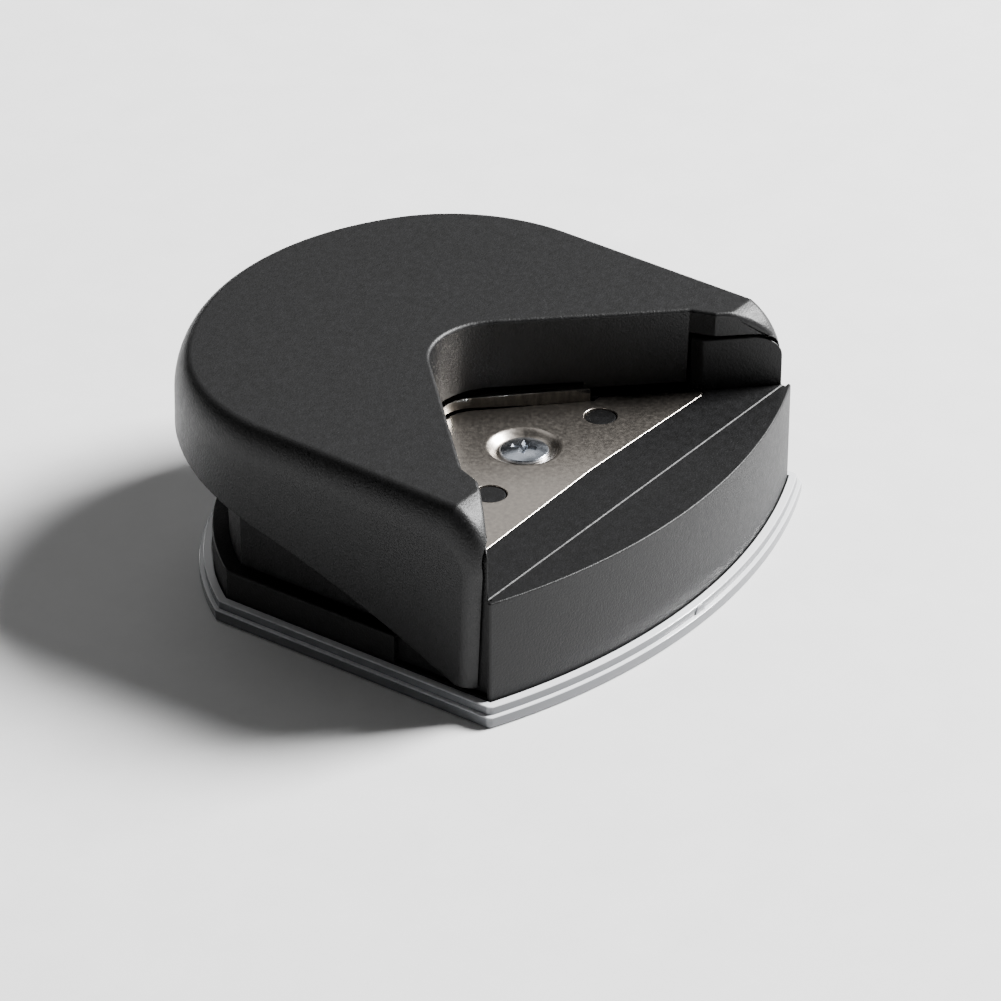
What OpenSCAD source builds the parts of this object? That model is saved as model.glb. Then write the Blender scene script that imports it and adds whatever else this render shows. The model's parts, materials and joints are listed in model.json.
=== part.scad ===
// Corner rounder: a palm-sized lever punch that rounds the corners of card and paper.
// Origin: centre of the overall box, on the surface that the tray stands on.
// +X to the right, +Y towards the rear of the lever, +Z up. Millimetres.

/* [Overall] */
// Depth from the tray's front edge to the lever's rear edge
overall_d = 69.4; // [68:0.1:71]
// Width of the scrap tray, the widest piece
tray_w = 67; // [66:0.1:68]
// Width of the base's foot
body_w = 63.5; // [63:0.1:64]
// Width of the lever
lever_w = 64.9; // [64.5:0.1:65.2]

/* [Scrap tray] */
// Radius of the tray's front edge in plan
tray_front_r = 81; // [78:1:84]
// Radius of the tray's rear edge in plan
tray_rear_r = 39.9; // [39:0.1:40.5]
// Depth from the tray's front edge to its rear edge
tray_d = 65.9; // [65.5:0.1:66.5]
// Height of the tray's rim
rim_h = 2.45; // [2.3:0.05:2.6]
// Thickness of the tray's floor and its lower step
tray_floor_t = 1.2; // [1:0.1:1.3]
// Width of the step round the rim
rim_step = 0.55; // [0.4:0.05:0.7]

/* [Base] */
// Height of the paper deck
deck_z = 15.6; // [15.4:0.1:15.8]
// Thickness of the deck
deck_t = 3; // [2.8:0.1:3.2]
// Height of the ledge round the base's foot
ledge_z = 6.2; // [6:0.1:6.4]
// Width of the base's front block, between the lever's arms
block_w = 62; // [61.8:0.1:62.1]
// Width of the base's body behind the front block
inner_w = 59.4; // [59.2:0.1:59.6]
// Height of the two paper guide posts
post_top_z = 22.7; // [22.3:0.1:22.8]
// Half-width at which each post's guide face starts
post_in_x = 23.7; // [23.6:0.1:24]

/* [Die and punch] */
// Corner radius that the tool cuts
cut_r = 5; // [4:0.5:6]
// Y of the point where the two paper guide lines meet, at 45 degrees to X
vee_y = 5.35; // [5.2:0.05:5.5]
// Thickness of the die plate
plate_t = 1.5; // [1.2:0.1:1.6]
// Clearance between punch and die
die_gap = 0.05; // [0.03:0.01:0.08]
// Diameter of the two locating peg holes
peg_hole_d = 4.06; // [3.9:0.02:4.2]

/* [Lever] */
// Height of the lever's top in its own frame
lever_top_z = 26.3; // [26.1:0.1:26.5]
// Angle at which the springs hold the lever's rear up
rest_tilt = 1.8; // [1.5:0.05:2]
// Radius of the lever's rear edge in plan
lever_rear_r = 38.3; // [37.5:0.1:39]
// Radius that blends the lever's rear edge into its sides
lever_corner_r = 24.5; // [22:0.5:26]
// Width of the lever's rounded top edge, seen from above
lever_edge_r = 2.2; // [2:0.1:3]
// Height of the lever's rounded top edge
lever_edge_h = 4.8; // [4:0.1:5.5]
// Radius of the arms' front top edge, seen from the side
nose_r = 8.2; // [7.8:0.1:8.5]
// Thickness of the lever's side walls
wall_t = 1.8; // [1.6:0.1:1.9]
// Thickness of the lever's top
skin_t = 2.2; // [2:0.1:2.4]
// Y of the pivot axis
pivot_y = -19.45; // [-19.6:0.05:-19.2]
// Height of the pivot axis
pivot_z = 8; // [7.8:0.1:8.2]
// Diameter of the pivot axle
axle_d = 3; // [2.5:0.1:3.2]

/* [Hidden] */
$fn = 96;
eps = 0.01;
big = 90;
root2 = sqrt(2);
over = 1; // how far a cutting shape runs past the surface that it cuts
run_gap = 0.05;
snug_gap = 0.02;

// Tray and base outlines: arcs of one front and one rear centre
front_y = -overall_d / 2;
rear_y = overall_d / 2;
front_cy = front_y + tray_front_r;
tray_rear_cy = front_y + tray_d - tray_rear_r;
body_inset = (tray_w - body_w) / 2;
inner_inset = (tray_w - inner_w) / 2;
shell_t = 2;
base_bottom_z = tray_floor_t + 0.15;

// Front block, arm recesses and posts
corner_y = front_cy - sqrt(pow(tray_front_r - body_inset, 2) - pow(body_w / 2, 2));
recess_front_y = corner_y + 0.45;
deck_step_y = corner_y + 0.75;
block_rear_y = -12.9;
ledge_front_y = -12.5;
chamber_front_y = -13.5;
post_edge_r = 3;
post_line = vee_y + 0.1;
post_rear_line = post_line + 1.85;
recess_lift = 0.2;
parting_w = 0.35;

// Die plate and its screw
plate_top_z = deck_z - 0.1;
plate_z = plate_top_z - plate_t;
plate_half_w = 23.9;
plate_front_y = -18.85;
plate_front_dip = 0.7;
wing_line = vee_y + 1.2;
wing_rear_y = -8.8;
plate_gap = 0.12;
peg_x = 11.5;
peg_y = -11.65;
peg_d = peg_hole_d - 0.12;
peg_sink = 0.15;
screw_y = -8.4;
dish_r = 4.7;
dish_floor_r = 3.2;
dish_depth = 0.9;
screw_z = plate_top_z - dish_depth;
screw_d = 3;
nut_af = 5.5;
nut_h = 2.4;
nut_z = 8.2;
nut_room = 0.1;
column_r = 4.4;
column_cover = 1.5;
head_r = 3;
head_h = 0.95;
head_crown = 0.5;
head_crown_r = 9.25;
head_turn = 20;
recess_l = 3.4;
recess_w = 0.8;
recess_d = 0.7;
tail_l = 0.8;

// Pivot
boss_r = 4;
boss_in_x = 30.2;
bearing_in_x = boss_in_x - 0.5;
bearing_l = 5;
pocket_gap = 0.4;
axle_end_x = 31.4;
axle_end_gap = 0.15;

// Lever
skirt_a = [-21.25, 3.53];
skirt_b = [1.25, 11.7];
skirt_c = [34.75, 17.4];
lever_rear_y = rear_y + (skirt_c[1] - pivot_z) * sin(rest_tilt);
lever_half_w = lever_w / 2;
lever_cy = lever_rear_y - lever_rear_r;
corner_x = lever_half_w - lever_corner_r;
corner_cy = lever_cy + sqrt(pow(lever_rear_r - lever_corner_r, 2) - pow(corner_x, 2));
corner_a = atan2(corner_cy - lever_cy, corner_x);
arm_front_y = -25.1;
arm_wall_t = 1.1;
arm_rear_y = -12;
room_front_y = -14.5;
tip_r = 0.5;
tip_z = 3.3;
notch_line = 7.75;
notch_r = 9;
notch_wall_t = 1.8;
notch_wall_z = 17;
notch_wall_low_z = 16.15;
nose_lift = 0.6;
notch_wall_half_w = 23.6;
arm_line = 5.75;
step_out_x = 24.7;
post_room_z = 23.2;
room_edge_r = post_edge_r + 0.3;

// Punch mechanism
guide_x = 9.2;
guide_y = 11;
pin_d = 3;
bush_od = 5;
carrier_z = 3.4;
carrier_t = 1.6;
carrier_half_w = 24;
carrier_front_y = 7.5;
carrier_rear_y = 14.5;
carrier_screw_x = 21;
carrier_column_w = 3;
carrier_column_z = plate_z - 2;
scrap_cut_half_w = 5;
scrap_cut_d = 1.2;
small_screw_d = 2;
small_hole_d = 2.2;
small_head_d = 4;
small_head_h = 1.3;
small_screw_l = 7;
small_slot = [2.4, 0.5, 1.2];
pin_tail = 0.4;
pin_l = 12.8;
seat_t = 0.6;
seat_r = 2.85;
spring_wire = 0.5;
spring_mean_r = 2.25;
spring_turns = 3.5;
spring_end_turns = 0.8;
spring_end_gap = 0.1;
spring_steps = 20;
spring_sides = 8;
carriage_z = 11.4;
blade_z = 16;
blade_top_z = 17.2;
blade_half_w = 13.9;
blade_rear_y = 13.5;
heel_x = 8.8;
heel_z = 12;
heel_t = 1.5;
edge_rise = 0.5;
carriage_half_w = 12.6;
carriage_setback = 3;
carriage_front_y = -4;
carriage_rear_y = 13.9;
bush_room = 0.6;
bush_short = 0.1;
die_wall_line = vee_y - 0.4;
die_wall_end = 4;
chamber_gap = 0.6;
rivet_x = 3.5;
rivet_y = 11.6;
rivet_d = 2;
rivet_tail = 0.5;
rivet_head_d = 3.2;
rivet_head_h = 0.7;
rivet_cap_d = 3;
rivet_cap_h = 0.1;
pusher_y = 9.2;
pusher_half_w = 6.4;
pusher_half_d = 1.9;
pusher_z = blade_top_z + 0.15 - (pusher_y - pivot_y) * sin(rest_tilt);
pusher_top_z = 21;
pusher_screw_x = 4.2;
pusher_screw_l = 6.2;
pusher_head_z = 0.6;
pusher_head_d = 3.2;
pusher_head_h = 0.4;
pusher_bore_d = 3.4;
pusher_bore_z = 1.6;
pusher_slot = [2, 0.45, 1];
pusher_hole_z = 25;

// Catch on the lever and the lug that it hooks under
lug_y = 21.9;
lug_z = 11.5;
lug_top_z = 13.2;
lug_half_w = 3;
lug_reach = 0.5;
catch_x = 9;
catch_y = 19;
catch_t = 1.5;
catch_tip_y = 22.7;
catch_tip_t = 1.2;
catch_half_w = 2.5;
catch_z = lug_z - 0.2 - catch_tip_t - (catch_tip_y - pivot_y) * sin(rest_tilt);
rib_x = 12;
rib_t = 1.2;
rib_h = 5;
rib_front_y = 10;
rib_rear_y = 31;

// Tray details
tray_step_z = 1.4;
rim_inner_gap = 0.2;
ring_gap = 0.25;
ring_t = 1;
ring_inset = body_inset + shell_t + ring_gap;
ring_z = ledge_z - shell_t - 0.4;
gate_r = 0.9;
gate_z = 1.45;
gate_out = 0.15;

// Extrudes a (Y, Z) outline from x0 to x1
module along_x(x0, x1) {
    translate([x0, 0, 0]) rotate([90, 0, 90]) linear_extrude(x1 - x0) children();
}

// Extrudes a plan outline from z0 to z1
module rise(z0, z1) {
    translate([0, 0, z0]) linear_extrude(z1 - z0) children();
}

// A copy on each side of the middle plane
module both_sides() {
    children();
    mirror([1, 0, 0]) children();
}

// A box from its low corner to its high corner
module span(low, high) {
    translate(low) cube(high - low);
}

// Plan outline shared by the tray and the base, moved in by inset
module tray_plan(inset) {
    intersection() {
        translate([0, front_cy]) circle(tray_front_r - inset);
        translate([0, tray_rear_cy]) circle(tray_rear_r - inset);
        square([tray_w - 2 * inset, 2 * big], center = true);
    }
}

// Region in front of two 45 degree lines that meet at [0, line], rounded by r and grown by d
module vee_plan(line, r, d = 0) {
    cy = line - r * root2;
    rr = r + d;
    t = rr / root2;
    // The arc is a hair larger than its tangent lines need, so that it crosses them cleanly
    translate([0, cy]) circle(rr + eps / 2);
    polygon([[t, cy + t], [big, cy + 2 * t - big], [-big, cy + 2 * t - big], [-t, cy + t]]);
}

// Opening over the paper mouth in the lever's top, narrower where it crosses the arms
module notch_plan() {
    right = [
        [notch_wall_half_w, big],
        [notch_wall_half_w, notch_line - notch_wall_half_w],
        [step_out_x, arm_line - step_out_x],
        [big, arm_line - big],
    ];
    intersection() {
        vee_plan(notch_line, notch_r);
        polygon(concat(right, [for (i = [len(right) - 1 : -1 : 0]) [-right[i][0], right[i][1]]]));
        square([2 * (lever_half_w - arm_wall_t), 2 * big], center = true);
    }
}

// Die plate's outline, grown by g
module plate_plan(g = 0) {
    intersection() {
        polygon([
            [-plate_half_w - g, plate_front_y - g],
            [0, plate_front_y + plate_front_dip - g],
            [plate_half_w + g, plate_front_y - g],
            [plate_half_w + g, big],
            [-plate_half_w - g, big],
        ]);
        union() {
            vee_plan(vee_y, cut_r, g);
            intersection() {
                vee_plan(wing_line, cut_r, g);
                translate([-big / 2, -big]) square([big, big + wing_rear_y + g]);
            }
        }
    }
}

// Points of an arc about c
function arc(c, r, a0, a1, n) =
    [for (i = [0 : n]) let (a = a0 + (a1 - a0) * i / n) c + r * [cos(a), sin(a)]];

// Lever's outline in plan, moved in by inset
module lever_plan(inset = 0) {
    right = concat(
        [[lever_half_w - inset, arm_front_y - over]],
        arc([corner_x, corner_cy], lever_corner_r - inset, 0, corner_a, 10),
        arc([0, lever_cy], lever_rear_r - inset, corner_a, 90, 8)
    );
    polygon(concat(right, [for (i = [len(right) - 2 : -1 : 0]) [-right[i][0], right[i][1]]]));
}

// Centre of the circle through three points
function centre3(a, b, c) =
    let (
        d = 2 * (a[0] * (b[1] - c[1]) + b[0] * (c[1] - a[1]) + c[0] * (a[1] - b[1])),
        aa = a * a, bb = b * b, cc = c * c
    )
    [(aa * (b[1] - c[1]) + bb * (c[1] - a[1]) + cc * (a[1] - b[1])) / d,
     (aa * (c[0] - b[0]) + bb * (a[0] - c[0]) + cc * (b[0] - a[0])) / d];

// Side outline (Y, Z) of the lever, with the front edge rounded by the nose and tip radii
module lever_side() {
    skirt_centre = centre3(skirt_a, skirt_b, skirt_c);
    skirt_r = norm(skirt_a - skirt_centre);
    nose_z = lever_top_z - nose_r + nose_lift;
    difference() {
        union() {
            translate([arm_front_y, tip_z + tip_r])
                square([tip_r * 2, nose_z - tip_z - tip_r]);
            translate([arm_front_y + tip_r, tip_z + tip_r]) circle(tip_r);
            translate([arm_front_y + tip_r, tip_z]) square([big, nose_z - tip_z]);
            translate([arm_front_y + nose_r, nose_z]) circle(nose_r);
            translate([arm_front_y + nose_r, nose_z - eps]) square([big, nose_r + eps]);
        }
        translate(skirt_centre) circle(skirt_r, $fn = 360);
    }
}

// Everything that is drawn in the lever's own frame, tilted about the pivot to its rest angle
module at_rest() {
    translate([0, pivot_y, pivot_z]) rotate([rest_tilt, 0, 0])
        translate([0, -pivot_y, -pivot_z]) children();
}

// What a rounding of radius r takes off an outer top edge along Y
module shoulder(r) {
    rotate([90, 0, 0]) linear_extrude(2 * big, center = true) difference() {
        square(r + over);
        circle(r);
    }
}

// ---- Base ----

module guide_post() {
    difference() {
        rise(deck_z - over, post_top_z) polygon([
            [post_in_x, post_line - post_in_x],
            [block_w / 2, post_line - block_w / 2],
            [block_w / 2, post_rear_line - block_w / 2],
            [post_in_x, post_rear_line - post_in_x],
        ]);
        translate([block_w / 2 - post_edge_r, 0, post_top_z - post_edge_r]) shoulder(post_edge_r);
    }
}

// Block and foot in front, narrower body behind, all of full height
module base_outside() {
    rise(base_bottom_z, ledge_z) tray_plan(body_inset);
    rise(ledge_z - eps, deck_z) intersection() {
        tray_plan(body_inset);
        union() {
            translate([-block_w / 2, -big]) square([block_w, big + block_rear_y]);
            translate([-big / 2, -big]) square([big, big + recess_front_y]);
        }
    }
    rise(ledge_z - eps, deck_z) tray_plan(inner_inset);
    both_sides() guide_post();
}

// Hollow below the deck, and the open chamber behind the die
module base_hollow() {
    room = inner_inset + shell_t;
    rise(-over, deck_z - deck_t) intersection() {
        tray_plan(body_inset + shell_t);
        square([tray_w - 2 * room, 2 * big], center = true);
        translate([-big / 2, block_rear_y - big]) square([big, big + over]);
    }
    rise(-over, deck_z - deck_t) tray_plan(room);
    rise(-over, ledge_z - shell_t) tray_plan(body_inset + shell_t);
    rise(-over, deck_z + over) difference() {
        intersection() {
            tray_plan(room);
            translate([-big / 2, chamber_front_y]) square(big);
        }
        vee_plan(wing_line, cut_r, rim_inner_gap);
    }
    rise(-over, deck_z + over) difference() {
        intersection() {
            tray_plan(room);
            square([2 * (blade_half_w + chamber_gap), big], center = true);
        }
        vee_plan(die_wall_line, cut_r);
    }
}

module base_housing() color([0.06, 0.06, 0.065]) {
    difference() {
        union() {
            difference() {
                base_outside();
                base_hollow();
            }
            // Wall below the edge of the die
            rise(carrier_z, plate_z - eps) intersection() {
                difference() {
                    vee_plan(die_wall_line, cut_r);
                    vee_plan(die_wall_line, cut_r, -shell_t);
                }
                translate([-blade_half_w, -wing_line - die_wall_end])
                    square([2 * blade_half_w, big]);
            }
            // Column for the die screw and its nut
            translate([0, screw_y, nut_z - column_cover])
                cylinder(h = plate_z - nut_z + column_cover, r = column_r);
            both_sides() {
                // Bearing for the axle
                translate([bearing_in_x - bearing_l, pivot_y, pivot_z]) rotate([0, 90, 0])
                    cylinder(h = bearing_l, r = boss_r);
                // Locating peg
                translate([peg_x, peg_y, plate_z - over])
                    cylinder(h = plate_t - peg_sink + over, d = peg_d);
                // Column for a carrier screw
                intersection() {
                    span([carrier_screw_x - carrier_column_w, carrier_front_y, carrier_z + carrier_t],
                         [inner_w / 2, carrier_rear_y, carrier_column_z]);
                    rise(0, big) tray_plan(inner_inset + over);
                }
                // Lug that the lever's catch hooks under
                intersection() {
                    span([catch_x - lug_half_w, lug_y, lug_z], [catch_x + lug_half_w, big, lug_top_z]);
                    rise(0, big) tray_plan(inner_inset + lug_reach);
                }
            }
        }
        // Recess for the die plate, around the pegs
        difference() {
            rise(plate_z, deck_z + over) plate_plan(plate_gap);
            both_sides() translate([peg_x, peg_y, 0])
                cylinder(h = plate_top_z - peg_sink, d = peg_d);
        }
        translate([0, screw_y, 0]) cylinder(h = deck_z, d = screw_d + 2 * snug_gap);
        translate([0, screw_y, nut_z - 2 * over])
            cylinder(h = nut_h + 2 * over, d = (nut_af + nut_room) * 2 / sqrt(3), $fn = 6);
        both_sides() {
            // Recess for the lever's arm, with a round pocket for its pivot boss
            span([block_w / 2, recess_front_y, rim_h + recess_lift], [big, ledge_front_y, ledge_z + eps]);
            span([block_w / 2, recess_front_y, ledge_z], [big, ledge_front_y, big]);
            translate([bearing_in_x, pivot_y, pivot_z]) rotate([0, 90, 0])
                cylinder(h = bearing_l, r = boss_r + pocket_gap);
            translate([0, pivot_y, pivot_z]) rotate([0, 90, 0])
                cylinder(h = big, d = axle_d + 2 * snug_gap);
            translate([carrier_screw_x, guide_y, 0])
                cylinder(h = carrier_column_z - over, d = small_screw_d + 2 * snug_gap);
        }
        // Parting step across the front of the deck
        translate([0, deck_step_y, deck_z]) rotate([45, 0, 0])
            cube([big, parting_w / root2, parting_w / root2], center = true);
    }
}

module spring_carrier() color([0.62, 0.63, 0.65]) {
    difference() {
        span([-carrier_half_w, carrier_front_y, carrier_z],
             [carrier_half_w, carrier_rear_y, carrier_z + carrier_t]);
        // Room for the falling scrap
        span([-scrap_cut_half_w, carrier_front_y - over, 0],
             [scrap_cut_half_w, carrier_front_y + scrap_cut_d, big]);
        both_sides() {
            translate([carrier_screw_x, guide_y, 0]) cylinder(h = big, d = small_hole_d);
            translate([guide_x, guide_y, 0]) cylinder(h = big, d = pin_d + 2 * snug_gap);
        }
    }
}

module carrier_screws() color([0.7, 0.71, 0.74])
    both_sides() translate([carrier_screw_x, guide_y, carrier_z]) difference() {
        union() {
            translate([0, 0, -over]) cylinder(h = small_screw_l, d = small_screw_d);
            translate([0, 0, -small_head_h]) cylinder(h = small_head_h - eps, d = small_head_d);
        }
        for (a = [-45, 45])
            translate([0, 0, -small_head_h]) rotate(a) cube(small_slot, center = true);
    }

module guide_pin(side) color([0.78, 0.79, 0.8])
    translate([side * guide_x, guide_y, carrier_z - pin_tail]) cylinder(h = pin_l, d = pin_d);

module spring_seat(side) color([0.7, 0.71, 0.74])
    translate([side * guide_x, guide_y, carrier_z + carrier_t]) difference() {
        cylinder(h = seat_t, r = seat_r);
        translate([0, 0, -over]) cylinder(h = seat_t + 2 * over, d = pin_d + 2 * run_gap);
    }

// Compression spring: one closed tube swept along a helix, with close end turns
spring_z0 = carrier_z + carrier_t + seat_t + spring_wire / 2 + snug_gap;
spring_z1 = carriage_z - spring_wire / 2 - snug_gap;
spring_end_rise = spring_end_turns * (spring_wire + spring_end_gap);
function spring_lift(turn) =
    turn < spring_end_turns ? spring_z0 + spring_end_rise * turn / spring_end_turns
    : turn > spring_turns - spring_end_turns
        ? spring_z1 - spring_end_rise * (spring_turns - turn) / spring_end_turns
    : spring_z0 + spring_end_rise + (spring_z1 - spring_z0 - 2 * spring_end_rise)
        * (turn - spring_end_turns) / (spring_turns - 2 * spring_end_turns);

module return_spring(side) color([0.75, 0.76, 0.78]) {
    steps = spring_steps * spring_turns;
    sides = spring_sides;
    points = [for (i = [0 : steps], j = [0 : sides - 1])
        let (
            a = 360 * spring_turns * i / steps,
            b = 360 * j / sides,
            r = spring_mean_r + spring_wire / 2 * cos(b)
        )
        [r * cos(a), r * sin(a), spring_lift(spring_turns * i / steps) + spring_wire / 2 * sin(b)]];
    faces = concat(
        [[for (j = [0 : sides - 1]) j]],
        [for (i = [0 : steps - 1], j = [0 : sides - 1])
            let (k = (j + 1) % sides)
            [i * sides + k, i * sides + j, (i + 1) * sides + j, (i + 1) * sides + k]],
        [[for (j = [sides - 1 : -1 : 0]) steps * sides + j]]
    );
    translate([side * guide_x, guide_y, 0]) polyhedron(points, faces);
}

module pivot_axle() color([0.8, 0.81, 0.82])
    translate([-axle_end_x, pivot_y, pivot_z]) rotate([0, 90, 0])
        cylinder(h = 2 * axle_end_x, d = axle_d);

// ---- Die ----

module die_plate() color([0.72, 0.69, 0.64])
    difference() {
        rise(plate_z, plate_top_z) plate_plan();
        both_sides() translate([peg_x, peg_y, 0]) cylinder(h = big, d = peg_hole_d);
        translate([0, screw_y, 0]) cylinder(h = big, d = screw_d + 2 * plate_gap);
        translate([0, screw_y, screw_z])
            cylinder(h = dish_depth + eps, r1 = dish_floor_r, r2 = dish_r);
    }

module die_screw() color([0.7, 0.74, 0.8]) {
    translate([0, screw_y, screw_z]) difference() {
        rotate_extrude() union() {
            square([head_r, head_h - head_crown]);
            intersection() {
                translate([0, head_h - head_crown]) square([head_r, head_crown]);
                translate([0, head_h - head_crown_r]) circle(head_crown_r);
            }
        }
        for (a = [0, 90])
            rotate(a + head_turn) translate([0, 0, head_h])
                cube([recess_l, recess_w, 2 * recess_d], center = true);
    }
    translate([0, screw_y, nut_z - tail_l])
        cylinder(h = screw_z - nut_z + tail_l + eps, d = screw_d);
}

module die_nut() color([0.75, 0.75, 0.74])
    translate([0, screw_y, nut_z]) difference() {
        cylinder(h = nut_h - nut_room, d = nut_af * 2 / sqrt(3), $fn = 6);
        translate([0, 0, -over]) cylinder(h = nut_h + 2 * over, d = screw_d + 2 * snug_gap);
    }

// ---- Punch ----

module punch_blade() color([0.82, 0.83, 0.84])
    difference() {
        rotate([90, 0, 0]) linear_extrude(big, center = true) polygon([
            [-blade_half_w, heel_z], [-heel_x, heel_z], [-heel_x, blade_z - edge_rise],
            [0, blade_z],
            [heel_x, blade_z - edge_rise], [heel_x, heel_z], [blade_half_w, heel_z],
            [blade_half_w, blade_top_z], [-blade_half_w, blade_top_z],
        ]);
        rise(-over, big) vee_plan(vee_y, cut_r, die_gap);
        span([-big, blade_rear_y, 0], [big, big, big]);
        span([-big, -big, 0], [big, vee_y - blade_half_w, big]);
        rise(0, blade_z) difference() {
            square(2 * big, center = true);
            vee_plan(vee_y, cut_r, heel_t);
        }
        both_sides() {
            translate([guide_x, guide_y, 0]) cylinder(h = big, d = bush_od + bush_room);
            translate([rivet_x, rivet_y, 0]) cylinder(h = big, d = rivet_d + 2 * snug_gap);
        }
    }

module blade_carriage() color([0.55, 0.56, 0.58])
    difference() {
        rise(carriage_z, blade_z - snug_gap) intersection() {
            translate([-carriage_half_w, carriage_front_y])
                square([2 * carriage_half_w, carriage_rear_y - carriage_front_y]);
            difference() {
                square(2 * big, center = true);
                vee_plan(vee_y, cut_r, carriage_setback);
            }
        }
        both_sides() {
            translate([guide_x, guide_y, 0]) cylinder(h = big, d = bush_od + 2 * snug_gap);
            translate([rivet_x, rivet_y, 0]) cylinder(h = big, d = rivet_d + 2 * snug_gap);
        }
    }

module blade_rivets() color([0.6, 0.6, 0.6])
    both_sides() translate([rivet_x, rivet_y, 0]) {
        translate([0, 0, carriage_z - rivet_tail])
            cylinder(h = blade_top_z - carriage_z + rivet_tail + rivet_cap_h, d = rivet_d);
        translate([0, 0, carriage_z - rivet_head_h])
            cylinder(h = rivet_head_h - snug_gap, d = rivet_head_d);
        translate([0, 0, blade_top_z + snug_gap]) cylinder(h = rivet_cap_h, d = rivet_cap_d);
    }

module guide_bush(side) color([0.8, 0.68, 0.35])
    translate([side * guide_x, guide_y, carriage_z + eps]) difference() {
        cylinder(h = blade_z - carriage_z - bush_short, d = bush_od);
        translate([0, 0, -over]) cylinder(h = big, d = pin_d + 2 * run_gap);
    }

// ---- Lever ----

// Outer form: plan outline with a rounded top edge, cut to the side outline
module lever_outside() {
    intersection() {
        hull() for (a = [0 : 18 : 90])
            translate([0, 0, lever_top_z - lever_edge_h * (1 - sin(a)) - eps])
                linear_extrude(eps) lever_plan(lever_edge_r * (1 - cos(a)));
        along_x(-lever_half_w, lever_half_w) lever_side();
    }
    intersection() {
        rise(0, lever_top_z - lever_edge_h) lever_plan();
        along_x(-lever_half_w, lever_half_w) lever_side();
    }
}

module lever_hollow() {
    under_z = lever_top_z - skin_t;
    // Behind the arms
    rise(-over, under_z) difference() {
        intersection() {
            lever_plan(wall_t);
            translate([-big / 2, room_front_y]) square(big);
        }
        vee_plan(notch_line, notch_r, notch_wall_t);
    }
    // Between the arms, under the notch wall, which is cut higher over the blade
    intersection() {
        rise(-over, notch_wall_z) intersection() {
            lever_plan(wall_t);
            vee_plan(notch_line, notch_r, notch_wall_t + eps);
        }
        union() {
            rise(-2 * over, notch_wall_low_z)
                square([2 * (notch_wall_half_w + eps), 2 * big], center = true);
            rise(-2 * over, big) square([2 * (blade_half_w + chamber_gap), 2 * big], center = true);
        }
    }
    // Inside each arm, around the guide post
    both_sides() difference() {
        span([notch_wall_half_w, -big, -over],
             [lever_half_w - arm_wall_t, arm_rear_y + eps, post_room_z]);
        translate([lever_half_w - arm_wall_t - room_edge_r, 0, post_room_z - room_edge_r])
            shoulder(room_edge_r);
    }
}

module lever_cap() color([0.075, 0.075, 0.08])
    at_rest() difference() {
        union() {
            difference() {
                lever_outside();
                lever_hollow();
                rise(-over, big) notch_plan();
            }
            // Seat for the pusher block
            span([-pusher_half_w, pusher_y - pusher_half_d, pusher_top_z],
                 [pusher_half_w, pusher_y + pusher_half_d, lever_top_z - over]);
            both_sides() {
                // Pivot boss
                translate([boss_in_x, pivot_y, pivot_z]) rotate([0, 90, 0])
                    cylinder(h = lever_half_w - boss_in_x - eps, r = boss_r);
                // Stiffening rib
                span([rib_x, rib_front_y, lever_top_z - rib_h],
                     [rib_x + rib_t, rib_rear_y, lever_top_z - over]);
                // Catch that stops the lever's return
                span([catch_x - catch_half_w, catch_y, catch_z],
                     [catch_x + catch_half_w, catch_y + catch_t, lever_top_z - over]);
                span([catch_x - catch_half_w, catch_y, catch_z],
                     [catch_x + catch_half_w, catch_tip_y, catch_z + catch_tip_t]);
            }
        }
        both_sides() {
            translate([0, pivot_y, pivot_z]) rotate([0, 90, 0])
                cylinder(h = axle_end_x + axle_end_gap, d = axle_d + 2 * run_gap);
            translate([pusher_screw_x, pusher_y, 0])
                cylinder(h = pusher_hole_z, d = small_screw_d + 2 * snug_gap);
        }
    }

module pusher_block() color([0.86, 0.85, 0.82])
    at_rest() difference() {
        union() {
            span([-pusher_half_w, pusher_y - pusher_half_d, pusher_z + pusher_half_d],
                 [pusher_half_w, pusher_y + pusher_half_d, pusher_top_z - snug_gap]);
            translate([-pusher_half_w, pusher_y, pusher_z + pusher_half_d]) rotate([0, 90, 0])
                cylinder(h = 2 * pusher_half_w, r = pusher_half_d);
        }
        both_sides() translate([pusher_screw_x, pusher_y, 0]) {
            cylinder(h = big, d = small_screw_d + 2 * snug_gap);
            cylinder(h = pusher_z + pusher_bore_z, d = pusher_bore_d);
        }
    }

module pusher_screws() color([0.7, 0.71, 0.74])
    at_rest() both_sides() translate([pusher_screw_x, pusher_y, pusher_z]) difference() {
        union() {
            translate([0, 0, pusher_bore_z - pusher_head_h])
                cylinder(h = pusher_screw_l, d = small_screw_d);
            translate([0, 0, pusher_head_z])
                cylinder(h = pusher_bore_z - pusher_head_z - eps, d = pusher_head_d);
        }
        for (a = [-45, 45])
            translate([0, 0, pusher_head_z]) rotate(a) cube(pusher_slot, center = true);
    }

// ---- Scrap tray ----

module scrap_tray() color([0.85, 0.87, 0.9, 0.5]) {
    rise(0, tray_floor_t) tray_plan(0);
    rise(tray_floor_t - eps, tray_step_z) difference() {
        tray_plan(0);
        tray_plan(body_inset - rim_inner_gap);
    }
    rise(tray_step_z - eps, rim_h) difference() {
        tray_plan(rim_step);
        tray_plan(body_inset - rim_inner_gap);
    }
    // Ring that clips inside the base
    difference() {
        rise(tray_floor_t - eps, ring_z) tray_plan(ring_inset);
        rise(tray_floor_t, big) tray_plan(ring_inset + ring_t);
    }
    // Moulding gate mark on the front edge
    intersection() {
        translate([0, front_y + rim_step + eps, gate_z]) rotate([90, 0, 0])
            cylinder(h = gate_out + eps, r = gate_r);
        rise(0, rim_h - gate_out) tray_plan(0);
    }
}

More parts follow.
